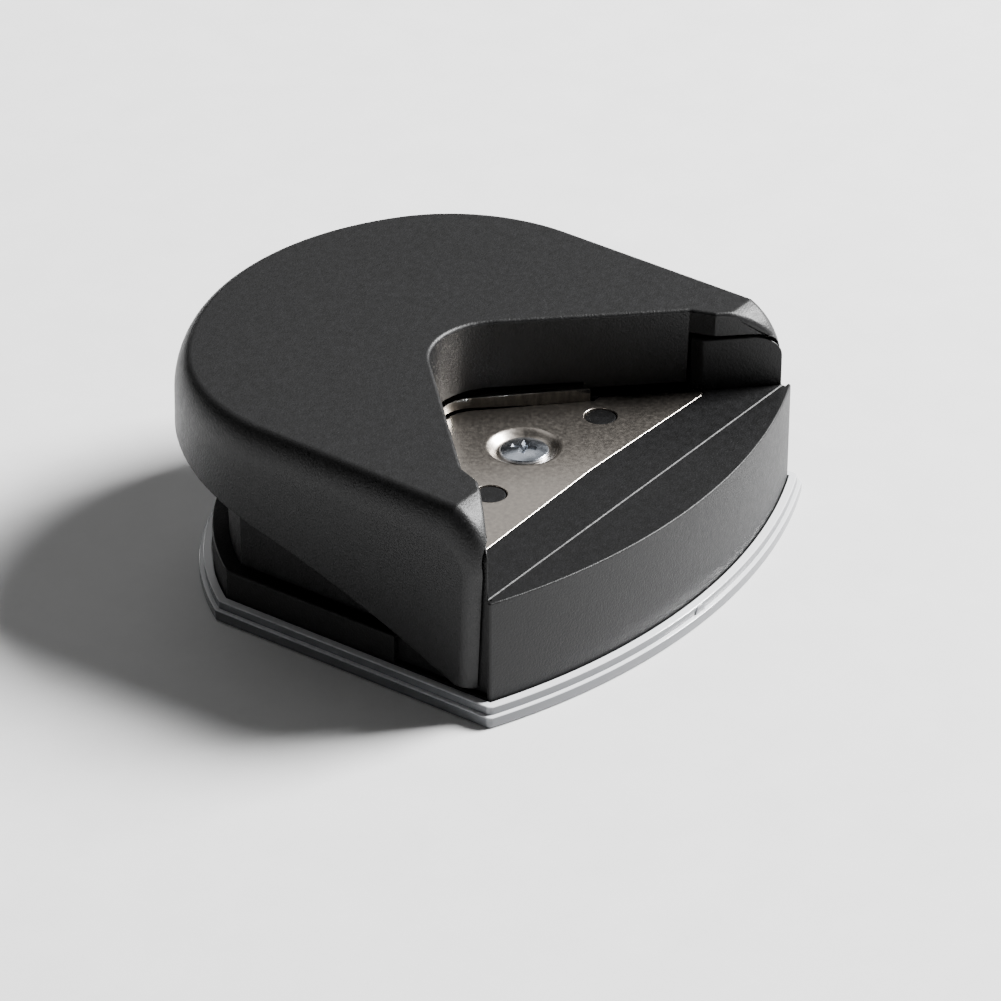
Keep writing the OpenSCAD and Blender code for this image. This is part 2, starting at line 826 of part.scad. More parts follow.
base_housing();
scrap_tray();
die_plate();
die_screw();
die_nut();
pivot_axle();
spring_carrier();
carrier_screws();
guide_pin(-1);  // guide_pin_left
guide_pin(1);  // guide_pin_right
return_spring(-1);  // return_spring_left
return_spring(1);  // return_spring_right
spring_seat(-1);  // spring_seat_left
spring_seat(1);  // spring_seat_right
punch_blade();
blade_carriage();
blade_rivets();
guide_bush(-1);  // guide_bush_left
guide_bush(1);  // guide_bush_right
lever_cap();
pusher_block();
pusher_screws();
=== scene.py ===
import json
import math

import bmesh
import bpy
from mathutils import Matrix, Vector


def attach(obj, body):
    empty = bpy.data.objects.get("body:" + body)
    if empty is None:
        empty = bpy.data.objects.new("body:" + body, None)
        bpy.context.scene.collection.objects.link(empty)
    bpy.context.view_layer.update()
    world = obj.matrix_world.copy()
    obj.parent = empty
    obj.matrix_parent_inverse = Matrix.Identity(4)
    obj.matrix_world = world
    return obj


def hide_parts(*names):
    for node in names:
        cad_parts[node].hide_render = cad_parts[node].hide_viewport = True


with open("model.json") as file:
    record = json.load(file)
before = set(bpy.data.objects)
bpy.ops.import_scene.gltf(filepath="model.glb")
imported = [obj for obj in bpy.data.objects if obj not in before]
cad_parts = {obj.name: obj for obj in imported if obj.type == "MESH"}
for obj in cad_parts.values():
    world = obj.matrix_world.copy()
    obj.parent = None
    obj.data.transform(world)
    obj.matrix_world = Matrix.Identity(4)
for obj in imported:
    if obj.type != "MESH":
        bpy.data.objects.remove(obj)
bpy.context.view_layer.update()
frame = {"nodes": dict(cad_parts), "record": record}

MM = 0.001
ROOT2 = math.sqrt(2)
# Reach of the solids that cut: sideways, down and up, and past a face
BIG = 90
LOW, HIGH = -9, 60
OVER = 1

# ---- Sizes in millimetres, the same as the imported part's ----

OVERALL_D = 69.4
TRAY_W, TRAY_FRONT_R, TRAY_REAR_R, TRAY_D = 67, 81, 39.9, 65.9
RIM_Z, TRAY_STEP_Z, TRAY_FLOOR, RIM_STEP = 2.45, 1.4, 1.2, 0.55
BODY_W, BLOCK_W, INNER_W = 63.5, 62, 59.4
DECK_Z, DECK_T, LEDGE_Z = 15.6, 3, 6.2
POST_TOP_Z, POST_IN_X = 22.7, 23.7
CUT_R, VEE_Y, PLATE_T, DIE_GAP = 5, 5.35, 1.5, 0.05
PEG_HOLE_R = 2.03
LEVER_W, LEVER_TOP_Z, REST_TILT = 64.9, 26.3, math.radians(1.8)
LEVER_REAR_R, LEVER_CORNER_R = 38.3, 24.5
EDGE_R, EDGE_H, NOSE_R, WALL_T, SKIN_T = 2.2, 4.8, 8.2, 1.8, 2.2
PIVOT_Y, PIVOT_Z, AXLE_R = -19.45, 8, 1.5

FRONT_Y, REAR_Y = -OVERALL_D / 2, OVERALL_D / 2
FRONT_CY = FRONT_Y + TRAY_FRONT_R
TRAY_CY = FRONT_Y + TRAY_D - TRAY_REAR_R
BODY_INSET, INNER_INSET = (TRAY_W - BODY_W) / 2, (TRAY_W - INNER_W) / 2
SHELL_T = 2
BASE_Z = TRAY_FLOOR + 0.15
CORNER_Y = FRONT_CY - math.sqrt((TRAY_FRONT_R - BODY_INSET) ** 2 - (BODY_W / 2) ** 2)
RECESS_FRONT_Y, DECK_STEP_Y = CORNER_Y + 0.45, CORNER_Y + 0.75
BLOCK_REAR_Y, LEDGE_FRONT_Y, CHAMBER_FRONT_Y = -12.9, -12.5, -13.5
DIE_WALL_LINE = VEE_Y - 0.4
POST_LINE = VEE_Y + 0.1
POST_REAR_LINE = POST_LINE + 1.85
PLATE_TOP = DECK_Z - 0.1
PLATE_Z = PLATE_TOP - PLATE_T
PLATE_W2, PLATE_FRONT_Y, PLATE_DIP = 23.9, -18.85, 0.7
WING_LINE, WING_REAR_Y = VEE_Y + 1.2, -8.8
PEG_X, PEG_Y, SCREW_Y = 11.5, -11.65, -8.4
DISH_R, DISH_FLOOR_R, DISH_D = 4.7, 3.2, 0.9
SCREW_Z = PLATE_TOP - DISH_D
NUT_Z, NUT_AF = 8.2, 5.6
BEARING_X, BOSS_X, BOSS_R = 29.7, 30.2, 4
LEVER_W2 = LEVER_W / 2
SKIRT = ((-21.25, 3.53), (1.25, 11.7), (34.75, 17.4))
LEVER_REAR_Y = REAR_Y + (SKIRT[2][1] - PIVOT_Z) * math.sin(REST_TILT)
LEVER_CY = LEVER_REAR_Y - LEVER_REAR_R
CORNER_X = LEVER_W2 - LEVER_CORNER_R
CORNER_CY = LEVER_CY + math.sqrt((LEVER_REAR_R - LEVER_CORNER_R) ** 2 - CORNER_X ** 2)
CORNER_A = math.atan2(CORNER_CY - LEVER_CY, CORNER_X)
ARM_FRONT_Y, ARM_WALL_T, ARM_REAR_Y, ROOM_FRONT_Y = -25.1, 1.1, -12, -14.5
TIP_Z = 3.3
NOTCH_LINE, NOTCH_R, NOTCH_WALL_T, NOTCH_WALL_Z, NOTCH_WALL_W2 = 7.75, 9, 1.8, 17, 23.6
NOTCH_WALL_LOW_Z, NOSE_LIFT = 16.15, 0.6
ARM_LINE, STEP_OUT_X, POST_ROOM_Z = 5.75, 24.7, 23.2
GUIDE_X, GUIDE_Y = 9.2, 11
CARRIER_Z, CARRIER_T = 3.4, 1.6
CARRIER_SCREW_X = 21
BLADE_Z, BLADE_TOP, BLADE_W2, BLADE_REAR_Y = 16, 17.2, 13.9, 13.5
LUG_Z, LUG_TOP_Z, LUG_Y = 11.5, 13.2, 21.9
CATCH_X, CATCH_Y, CATCH_T, CATCH_TIP_Y, CATCH_TIP_T = 9, 19, 1.5, 22.7, 1.2
CATCH_Z = LUG_Z - 0.2 - CATCH_TIP_T - (CATCH_TIP_Y - PIVOT_Y) * math.sin(REST_TILT)
# Room beside the blade, and radius of the holes that self-tapping screws go into
BLADE_GAP, TAPPED_R = 0.6, 1.02
PUSHER_Y, PUSHER_W2, PUSHER_D2, PUSHER_TOP_Z, PUSHER_SCREW_X = 9.2, 6.4, 1.9, 21, 4.2


# ---- Mesh helpers ----

def make(name, verts, faces):
    """A mesh object from points in millimetres."""
    mesh = bpy.data.meshes.new(name)
    mesh.from_pydata([Vector(v) * MM for v in verts], [], faces)
    obj = bpy.data.objects.new(name, mesh)
    bpy.context.scene.collection.objects.link(obj)
    bm = bmesh.new()
    bm.from_mesh(mesh)
    bmesh.ops.remove_doubles(bm, verts=bm.verts, dist=1e-4 * MM)
    bmesh.ops.recalc_face_normals(bm, faces=bm.faces)
    bm.to_mesh(mesh)
    bm.free()
    return obj


def prism(points, z0, z1, name="shape"):
    """A plan outline raised from z0 to z1."""
    n = len(points)
    verts = [(x, y, z) for z in (z0, z1) for x, y in points]
    faces = [list(range(n))[::-1], list(range(n, 2 * n))]
    faces += [[i, (i + 1) % n, n + (i + 1) % n, n + i] for i in range(n)]
    return make(name, verts, faces)


def prism_x(points, x0, x1):
    """A (Y, Z) outline drawn from x0 to x1."""
    n = len(points)
    verts = [(x, y, z) for x in (x0, x1) for y, z in points]
    faces = [list(range(n))[::-1], list(range(n, 2 * n))]
    faces += [[i, (i + 1) % n, n + (i + 1) % n, n + i] for i in range(n)]
    return make("shape", verts, faces)


def box(low, high):
    """A block between two opposite corners."""
    (x0, y0, z0), (x1, y1, z1) = low, high
    return prism([(x0, y0), (x1, y0), (x1, y1), (x0, y1)], z0, z1)


def lathe(profile, cx=0, cy=0, n=64, name="turned"):
    """A closed (radius, z) profile turned about a vertical axis."""
    m = len(profile)
    verts = []
    for i in range(n):
        a = 2 * math.pi * i / n
        verts += [(cx + r * math.cos(a), cy + r * math.sin(a), z) for r, z in profile]
    faces = []
    for i in range(n):
        j = (i + 1) % n
        faces += [[i * m + k, j * m + k, j * m + (k + 1) % m, i * m + (k + 1) % m] for k in range(m)]
    obj = make(name, verts, faces)
    clean(obj)
    return obj


def ring_points(cx, cy, r, n):
    """Points of a full circle."""
    angles = [2 * math.pi * i / n for i in range(n)]
    return [(cx + r * math.cos(a), cy + r * math.sin(a)) for a in angles]


def rod(x, y, r, z0, z1, n=48):
    """An upright cylinder."""
    return prism(ring_points(x, y, r, n), z0, z1)


def rod_x(y, z, r, x0, x1, n=48):
    """A cylinder along X."""
    return prism_x(ring_points(y, z, r, n), x0, x1)


def clean(obj, flat=0.2):
    """Merges doubled points and joins faces that are flat to within an angle in degrees."""
    bm = bmesh.new()
    bm.from_mesh(obj.data)
    bmesh.ops.remove_doubles(bm, verts=bm.verts, dist=5e-4 * MM)
    bmesh.ops.dissolve_degenerate(bm, dist=5e-4 * MM, edges=bm.edges)
    bmesh.ops.dissolve_limit(bm, angle_limit=math.radians(flat), verts=bm.verts, edges=bm.edges)
    bm.to_mesh(obj.data)
    bm.free()


def combine(obj, other, how):
    """Boolean of two solids; the second one is used up."""
    mod = obj.modifiers.new("cut", "BOOLEAN")
    mod.object, mod.operation, mod.solver = other, how, "EXACT"
    bpy.context.view_layer.update()
    done = obj.evaluated_get(bpy.context.evaluated_depsgraph_get())
    mesh = bpy.data.meshes.new_from_object(done)
    obj.modifiers.clear()
    old, obj.data = obj.data, mesh
    bpy.data.meshes.remove(old)
    bpy.data.objects.remove(other)
    return obj


def cut(obj, *others):
    """Takes the other solids out of obj."""
    for other in others:
        combine(obj, other, "DIFFERENCE")
    return obj


def add(obj, *others):
    """Joins the other solids to obj."""
    for other in others:
        combine(obj, other, "UNION")
    return obj


def common(obj, *others):
    """Keeps what obj shares with each of the other solids."""
    for other in others:
        combine(obj, other, "INTERSECT")
    return obj


def round_edges(obj, radius, segments, test, least=25):
    """Rounds the sharp edges that pass the test, which is given the middle in mm and both normals."""
    clean(obj)
    bm = bmesh.new()
    bm.from_mesh(obj.data)
    chosen = []
    for e in bm.edges:
        if len(e.link_faces) != 2 or e.calc_length() < 0.02 * MM:
            continue
        a, b = (f.normal for f in e.link_faces)
        if e.is_convex and math.degrees(a.angle(b, 0)) > least:
            if test((e.verts[0].co + e.verts[1].co) / (2 * MM), a, b):
                chosen.append(e)
    bmesh.ops.bevel(bm, geom=chosen, offset=radius * MM, offset_type="OFFSET", segments=segments,
                    profile=0.5, affect="EDGES", clamp_overlap=False, miter_outer="SHARP")
    bmesh.ops.remove_doubles(bm, verts=bm.verts, dist=2e-4 * MM)
    bmesh.ops.dissolve_degenerate(bm, dist=2e-4 * MM, edges=bm.edges)
    bm.to_mesh(obj.data)
    bm.free()


def arc(cx, cy, r, a0, a1, n):
    """Points of an arc, in degrees, both ends included."""
    return [(cx + r * math.cos(math.radians(a0 + (a1 - a0) * i / n)),
             cy + r * math.sin(math.radians(a0 + (a1 - a0) * i / n))) for i in range(n + 1)]


def fillet(points, radii, n=8):
    """Outline with its corners rounded, one radius per corner."""
    out = []
    count = len(points)
    for i, (p, r) in enumerate(zip(points, radii)):
        p = Vector(p)
        a = (Vector(points[i - 1]) - p).normalized()
        b = (Vector(points[(i + 1) % count]) - p).normalized()
        if r <= 0:
            out.append(tuple(p))
            continue
        half = a.angle(b) / 2
        centre = p + (a + b).normalized() * (r / math.sin(half))
        start = p + a * (r / math.tan(half)) - centre
        end = p + b * (r / math.tan(half)) - centre
        turn = start.angle_signed(end)
        for k in range(n + 1):
            t = -turn * k / n
            c, s = math.cos(t), math.sin(t)
            out.append((centre.x + start.x * c - start.y * s, centre.y + start.x * s + start.y * c))
    return out


def tray_outline(inset, corner=0, n=64):
    """Plan outline shared by the tray and the base, moved in by inset."""
    half = TRAY_W / 2 - inset
    fr, rr = TRAY_FRONT_R - inset, TRAY_REAR_R - inset
    af = math.degrees(math.asin(half / fr))
    ar = math.degrees(math.acos(half / rr))
    front = arc(0, FRONT_CY, fr, 270 - af, 270 + af, n // 2)
    rear = arc(0, TRAY_CY, rr, ar, 180 - ar, n)
    if not corner:
        return front + rear
    trim = corner * 0.9
    front = [p for p in front if abs(p[0]) < half - trim]
    points = [(-half, corner_front(inset))] + front + [(half, corner_front(inset))] + rear
    radii = [corner] + [0] * len(front) + [corner] + [0] * len(rear)
    return fillet(points, radii)


def corner_front(inset):
    """Y where the outline's front arc meets its straight side."""
    return FRONT_CY - math.sqrt((TRAY_FRONT_R - inset) ** 2 - (TRAY_W / 2 - inset) ** 2)


def vee(line, r, d=0, n=24):
    """Region in front of two 45 degree lines that meet at (0, line), rounded by r and grown by d."""
    cy = line - r * ROOT2
    rr = r + d
    t = rr / ROOT2
    return [(-BIG, cy + 2 * t - BIG), (BIG, cy + 2 * t - BIG)] + arc(0, cy, rr, 45, 135, n)


def mirrored(points, side):
    """The outline as it is on the right, or its mirror image on the left."""
    return points if side > 0 else [(-x, y) for x, y in points][::-1]


# ---- Materials ----

def wire(tree, a, b):
    tree.links.new(a, b)


def noise_node(tree, coord, scale, detail=3, rough=0.6, stretch=None):
    """Noise over the object's own coordinates, stretched if asked."""
    node = tree.nodes.new("ShaderNodeTexNoise")
    node.inputs["Scale"].default_value = scale
    node.inputs["Detail"].default_value = detail
    node.inputs["Roughness"].default_value = rough
    if stretch:
        mapping = tree.nodes.new("ShaderNodeMapping")
        mapping.inputs["Scale"].default_value = stretch
        wire(tree, coord, mapping.inputs["Vector"])
        wire(tree, mapping.outputs["Vector"], node.inputs["Vector"])
    else:
        wire(tree, coord, node.inputs["Vector"])
    return node


def ramp_node(tree, fac, stops):
    """A colour ramp with (place, colour) stops, driven by fac."""
    node = tree.nodes.new("ShaderNodeValToRGB")
    ramp = node.color_ramp
    while len(ramp.elements) < len(stops):
        ramp.elements.new(0.5)
    for element, (place, colour) in zip(ramp.elements, stops):
        element.position = place
        element.color = (*colour, 1)
    wire(tree, fac, node.inputs["Fac"])
    return node


def grey(v):
    return (v, v, v)


def surface(name, dark, light, rough, grain, bump, metallic=0, stretch=None, specular=0.5):
    """A procedural finish: colour and roughness follow a broad noise, and the bump a fine grain."""
    mat = bpy.data.materials.new(name)
    mat.use_nodes = True
    tree = mat.node_tree
    shader = tree.nodes["Principled BSDF"]
    coord = tree.nodes.new("ShaderNodeTexCoord").outputs["Object"]
    broad = noise_node(tree, coord, grain * 0.35, 4, 0.65, stretch)
    colour = ramp_node(tree, broad.outputs["Fac"], [(0.3, dark), (0.7, light)])
    wire(tree, colour.outputs["Color"], shader.inputs["Base Color"])
    roughness = ramp_node(tree, broad.outputs["Fac"], [(0.3, grey(rough[0])), (0.7, grey(rough[1]))])
    wire(tree, roughness.outputs["Color"], shader.inputs["Roughness"])
    shader.inputs["Metallic"].default_value = metallic
    shader.inputs["Specular IOR Level"].default_value = specular
    fine_noise = noise_node(tree, coord, grain, stretch=stretch)
    relief = tree.nodes.new("ShaderNodeBump")
    relief.inputs["Strength"].default_value = bump[0]
    relief.inputs["Distance"].default_value = bump[1] * MM
    wire(tree, fine_noise.outputs["Fac"], relief.inputs["Height"])
    wire(tree, relief.outputs["Normal"], shader.inputs["Normal"])
    return mat


def clear_surface(name):
    """Clear, glassy plastic with painted light: colour painted bright where it faces up and painted dark grey
    on its sides.
    """
    mat = surface(name, (0.8, 0.82, 0.86), (0.9, 0.92, 0.95), (0.1, 0.2), 900, (0.05, 0.02))
    tree = mat.node_tree
    shader = tree.nodes["Principled BSDF"]
    painted_light_by_facing = tree.nodes.new("ShaderNodeSeparateXYZ")
    wire(tree, tree.nodes.new("ShaderNodeNewGeometry").outputs["Normal"], painted_light_by_facing.inputs["Vector"])
    # Painted light and shade: base colour follows how far the face points up, light on top faces and dark
    # grey on the sides.
    colour = ramp_node(tree, painted_light_by_facing.outputs["Z"], [(0.05, (0.15, 0.155, 0.165)), (0.5, (0.55, 0.56, 0.58)),
                                                    (0.9, (0.86, 0.87, 0.89))])
    wire(tree, colour.outputs["Color"], shader.inputs["Base Color"])
    shader.inputs["Transmission Weight"].default_value = 0.15
    shader.inputs["IOR"].default_value = 1.55
    return mat


M = {
    "black_base": surface("black_base", grey(0.003), (0.005, 0.005, 0.0055), (0.4, 0.5), 3600, (0.9, 0.06),
                          specular=0.24),
    "black_lever": surface("black_lever", grey(0.004), (0.0065, 0.0065, 0.007), (0.4, 0.5), 3600, (0.9, 0.06),
                           specular=0.33),
    "clear_tray": clear_surface("clear_tray"),
    "brushed_plate": surface("brushed_plate", (0.47, 0.43, 0.39), (0.6, 0.55, 0.49), (0.28, 0.36), 5000,
                             (0.5, 0.012), metallic=1),
    "zinc_steel": surface("zinc_steel", (0.5, 0.55, 0.63), (0.75, 0.79, 0.86), (0.18, 0.3), 1500,
                          (0.15, 0.01), metallic=1),
    "plain_steel": surface("plain_steel", grey(0.42), grey(0.62), (0.22, 0.36), 1200, (0.15, 0.01),
                           metallic=1, stretch=(1, 1, 6)),
    "spring_steel": surface("spring_steel", grey(0.36), (0.54, 0.54, 0.57), (0.25, 0.4), 1500,
                            (0.15, 0.01), metallic=1),
    "ground_blade": surface("ground_blade", (0.22, 0.21, 0.19), (0.36, 0.34, 0.31), (0.1, 0.18), 900,
                            (0.1, 0.01), metallic=1, stretch=(6, 1, 1)),
    "cast_zinc": surface("cast_zinc", grey(0.34), (0.5, 0.5, 0.52), (0.45, 0.6), 900, (0.3, 0.03),
                         metallic=0.9),
    "bronze_bush": surface("bronze_bush", (0.42, 0.27, 0.1), (0.62, 0.42, 0.2), (0.35, 0.5), 2500,
                           (0.25, 0.02), metallic=1),
    "white_nylon": surface("white_nylon", (0.7, 0.68, 0.62), (0.8, 0.79, 0.75), (0.4, 0.55), 1200,
                           (0.1, 0.02)),
}


def dress(obj, slot, body=None, nodes=(), smooth=30):
    """Gives a finished piece its shading, material, slot, body and CAD nodes."""
    obj.data.materials.clear()
    obj.data.materials.append(M[slot])
    obj.data.shade_smooth()
    obj.data.set_sharp_from_angle(angle=math.radians(smooth))
    normals = obj.modifiers.new("normals", "WEIGHTED_NORMAL")
    normals.keep_sharp = True
    if body:
        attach(obj, body)
        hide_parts(*nodes)
    return obj


# ---- Lever ----

def centre3(a, b, c):
    """Centre of the circle through three points."""
    d = 2 * (a[0] * (b[1] - c[1]) + b[0] * (c[1] - a[1]) + c[0] * (a[1] - b[1]))
    aa, bb, cc = (p[0] ** 2 + p[1] ** 2 for p in (a, b, c))
    return ((aa * (b[1] - c[1]) + bb * (c[1] - a[1]) + cc * (a[1] - b[1])) / d,
            (aa * (c[0] - b[0]) + bb * (a[0] - c[0]) + cc * (b[0] - a[0])) / d)


SKIRT_C = centre3(*SKIRT)
SKIRT_R = math.dist(SKIRT_C, SKIRT[0])


def skirt_z(y):
    """Height of the skirt's curved lower edge."""
    return SKIRT_C[1] + math.sqrt(SKIRT_R ** 2 - (y - SKIRT_C[0]) ** 2)


def lever_rim(n_rear=44, n_corner=30):
    """Plan outline of the lever's right half, rear middle to corner arc's end, and its normals."""
    deg = math.degrees(CORNER_A)
    rear = arc(0, LEVER_CY, LEVER_REAR_R, 90, deg, n_rear)
    corner = arc(CORNER_X, CORNER_CY, LEVER_CORNER_R, deg, 0, n_corner)[1:]
    normals = [(x / LEVER_REAR_R, (y - LEVER_CY) / LEVER_REAR_R) for x, y in rear]
    normals += [((x - CORNER_X) / LEVER_CORNER_R, (y - CORNER_CY) / LEVER_CORNER_R) for x, y in corner]
    return rear + corner, normals


def lever_skin():
    """The lever's outer form, with its rounded rim swept round the edge and the skirt cut below."""
    steps, low = 10, -6
    rim, rim_n = lever_rim()
    chain = [((x, y, LEVER_TOP_Z), (nx, ny, 0), (0, 0, 1), EDGE_R, EDGE_H)
             for (x, y), (nx, ny) in zip(rim, rim_n)]
    top_end = len(chain)
    nose_y, nose_z = ARM_FRONT_Y + NOSE_R, LEVER_TOP_Z - NOSE_R + NOSE_LIFT
    front_r, lean = 2.6, 0.02
    crease = math.degrees(math.acos((NOSE_R - NOSE_LIFT) / NOSE_R))
    for i in range(25):
        a = math.radians(90 + crease + (90 - crease) * i / 24)
        b = math.radians(90 + 90 * i / 24)
        place = (LEVER_W2, nose_y + NOSE_R * math.cos(a), nose_z + NOSE_R * math.sin(a))
        chain.append((place, (1, 0, 0), (0, math.cos(b), math.sin(b)),
                      EDGE_R + (front_r - EDGE_R) * i / 24, EDGE_H + (front_r - EDGE_H) * i / 24))
    for i in range(1, 7):
        z = nose_z + (low - nose_z) * i / 6
        place = (LEVER_W2, ARM_FRONT_Y + lean * (nose_z - z), z)
        chain.append((place, (1, 0, 0), (0, -1, 0), front_r, front_r))
    verts, ring, foot = [], [], []
    for side in (1, -1):
        ids = []
        for place, n1, n2, r1, r2 in chain:
            p, n1, n2 = Vector(place), Vector(n1), Vector(n2)
            c = p - n1 * r1 - n2 * r2
            row = []
            for k in range(steps + 1):
                a = math.pi / 2 * k / steps
                v = c + n1 * math.cos(a) * r1 + n2 * math.sin(a) * r2
                row.append(len(verts))
                verts.append((side * max(v.x, 0), v.y, v.z))
            ids.append(row)
        ring.append(ids)
        foot.append([len(verts) + i for i in range(top_end)])
        verts += [(side * x, y, low) for x, y in rim]
    faces = []
    count = len(chain)
    for ids, base in zip(ring, foot):
        for i in range(count - 1):
            for k in range(steps):
                faces.append([ids[i][k], ids[i + 1][k], ids[i + 1][k + 1], ids[i][k + 1]])
        for i in range(top_end - 1):
            faces.append([ids[i][0], ids[i + 1][0], base[i + 1], base[i]])
        faces.append([ids[i][0] for i in range(top_end - 1, count)] + [base[-1]])
    right, left = ring
    faces.append([right[i][steps] for i in range(top_end + 1)]
                 + [left[i][steps] for i in range(top_end, 0, -1)])
    for i in range(top_end, count - 1):
        faces.append([right[i][steps], right[i + 1][steps], left[i + 1][steps], left[i][steps]])
    faces.append(foot[0] + right[-1] + left[-1][::-1] + foot[1][:0:-1])
    obj = make("lever_cap_visual", verts, faces)
    clean(obj, 0.01)
    foot_y = SKIRT_C[0] - math.sqrt(SKIRT_R ** 2 - (TIP_Z - SKIRT_C[1]) ** 2)
    under = [(-BIG, TIP_Z)]
    under += [(y, skirt_z(y)) for y in [foot_y + (REAR_Y + 4 - foot_y) * i / 60 for i in range(61)]]
    return cut(obj, prism_x(under + [(BIG, under[-1][1]), (BIG, -BIG), (-BIG, -BIG)], -BIG, BIG))


def lever_outline(inset):
    """Plan outline of the lever moved in by inset, closed in front."""
    rim, normals = lever_rim()
    right = [(x - nx * inset, y - ny * inset) for (x, y), (nx, ny) in zip(rim, normals)]
    right.append((LEVER_W2 - inset, ARM_FRONT_Y - OVER))
    return [(-x, y) for x, y in right[:0:-1]] + right


def notch_outline():
    """Opening over the paper mouth, with a rounded step where it crosses the arms."""
    limit = LEVER_W2 - ARM_WALL_T
    cy = NOTCH_LINE - NOTCH_R * ROOT2
    right = fillet([(0, -BIG), (limit, -BIG), (limit, ARM_LINE - limit),
                    (STEP_OUT_X, ARM_LINE - STEP_OUT_X), (NOTCH_WALL_W2, NOTCH_LINE - NOTCH_WALL_W2),
                    (NOTCH_R / ROOT2, NOTCH_LINE - NOTCH_R / ROOT2)],
                   [0, 0, 0, 0.5, 0.4, 0], n=5)
    top = arc(0, cy, NOTCH_R, 45, 135, 40)[1:-1]
    return right + top + [(-x, y) for x, y in right[::-1]][:-1]


def lever_cap():
    """The lever: its skin hollowed out, with the inner seats, bosses, ribs and catch hooks."""
    rib_in_x, rib_out_x, rib_front_y, rib_rear_y, rib_h = 12, 13.2, 10, 31, 5
    catch_half_w, room_edge_r, edge_r, foot_edge_r = 2.5, 3.3, 0.5, 0.25
    body = lever_skin()
    cut(body, prism(notch_outline(), -OVER, HIGH))
    under = LEVER_TOP_Z - SKIN_T
    outline = lever_outline(WALL_T)
    behind = common(prism(outline, -OVER, under), box((-BIG, ROOM_FRONT_Y, LOW), (BIG, BIG, HIGH)))
    cut(behind, prism(vee(NOTCH_LINE, NOTCH_R, NOTCH_WALL_T), LOW, HIGH))
    clear = box((-NOTCH_WALL_W2 - 0.01, -BIG, LOW), (NOTCH_WALL_W2 + 0.01, BIG, NOTCH_WALL_LOW_Z))
    add(clear, box((-BLADE_W2 - BLADE_GAP, -BIG + 1, -8), (BLADE_W2 + BLADE_GAP, BIG - 1, NOTCH_WALL_Z)))
    notch_zone = prism(vee(NOTCH_LINE, NOTCH_R, NOTCH_WALL_T + 0.01), LOW, HIGH)
    between = common(prism(outline, -OVER, HIGH), notch_zone, clear)
    cut(body, behind, between)
    for side in (1, -1):
        x0, x1 = NOTCH_WALL_W2, LEVER_W2 - ARM_WALL_T
        low, high = (x0, x1) if side > 0 else (-x1, -x0)
        room = box((low, -BIG, -OVER), (high, ARM_REAR_Y + 0.01, POST_ROOM_Z))
        round_edges(room, room_edge_r, 10, lambda m, a, b: abs(m.x) > x1 - 0.1 and m.z > 20)
        cut(body, room)
    seat = box((-PUSHER_W2, PUSHER_Y - PUSHER_D2, PUSHER_TOP_Z),
               (PUSHER_W2, PUSHER_Y + PUSHER_D2, under + OVER))
    add(body, seat)
    for side in (1, -1):
        inner, outer = sorted((side * BOSS_X, side * (LEVER_W2 - 0.6)))
        add(body, rod_x(PIVOT_Y, PIVOT_Z, BOSS_R, inner, outer))
        low, high = sorted((side * rib_in_x, side * rib_out_x))
        add(body, box((low, rib_front_y, LEVER_TOP_Z - rib_h), (high, rib_rear_y, under + OVER)))
        low, high = sorted((side * (CATCH_X - catch_half_w), side * (CATCH_X + catch_half_w)))
        hook = prism_x([(CATCH_Y, CATCH_Z), (CATCH_TIP_Y - 0.6, CATCH_Z), (CATCH_TIP_Y, CATCH_Z + 0.5),
                        (CATCH_TIP_Y, CATCH_Z + CATCH_TIP_T), (CATCH_Y + CATCH_T, CATCH_Z + CATCH_TIP_T),
                        (CATCH_Y + CATCH_T, under + OVER), (CATCH_Y, under + OVER)], low, high)
        add(body, hook)
        low, high = sorted((side * 28, side * (31.4 + 0.15)))
        cut(body, rod_x(PIVOT_Y, PIVOT_Z, AXLE_R + 0.05, low, high, 32))
        cut(body, rod(side * PUSHER_SCREW_X, PUSHER_Y, TAPPED_R, PUSHER_TOP_Z - 3, 25, 24))

    def rim_edge(m, a, b):
        if m.z < 20 or abs(m.x) > LEVER_W2 - 0.9:
            return False
        flat, out = (a, b) if abs(a.z) < abs(b.z) else (b, a)
        return abs(flat.z) < 0.02 and abs(flat.x) > 0.02 * (abs(m.x) > 8) and out.z > 0.3 and m.y < 6

    def skirt_edge(m, a, b):
        wall, foot = (a, b) if abs(a.z) < abs(b.z) else (b, a)
        outward = wall.x * m.x + wall.y * (m.y - 5) > 0
        return outward and foot.z < -0.5 and abs(m.z - max(TIP_Z, skirt_z(m.y))) < 0.05

    round_edges(body, edge_r, 4, rim_edge)
    round_edges(body, foot_edge_r, 3, skirt_edge, 40)
    tilt = Matrix.Translation((0, PIVOT_Y * MM, PIVOT_Z * MM)) @ Matrix.Rotation(REST_TILT, 4, "X") \
        @ Matrix.Translation((0, -PIVOT_Y * MM, -PIVOT_Z * MM))
    body.data.transform(tilt)
    return dress(body, "black_lever", "lever", ["lever_cap"], 24)


# ---- Base ----

def guide_post(side):
    """One of the two posts that the lever's arms slide past."""
    half, shoulder_r, edge_r = BLOCK_W / 2, 3, 0.35
    outline = [(POST_IN_X, POST_LINE - POST_IN_X), (half, POST_LINE - half), (half, POST_REAR_LINE - half),
               (POST_IN_X, POST_REAR_LINE - POST_IN_X)]
    post = prism(mirrored(outline, side), DECK_Z - OVER, POST_TOP_Z)

    def outer_top(m, a, b):
        return m.z > POST_TOP_Z - 0.1 and abs(m.x) > half - 0.1

    def other(m, a, b):
        return m.z > DECK_Z + 0.1

    round_edges(post, shoulder_r, 10, outer_top)
    round_edges(post, edge_r, 3, other, 40)
    return post


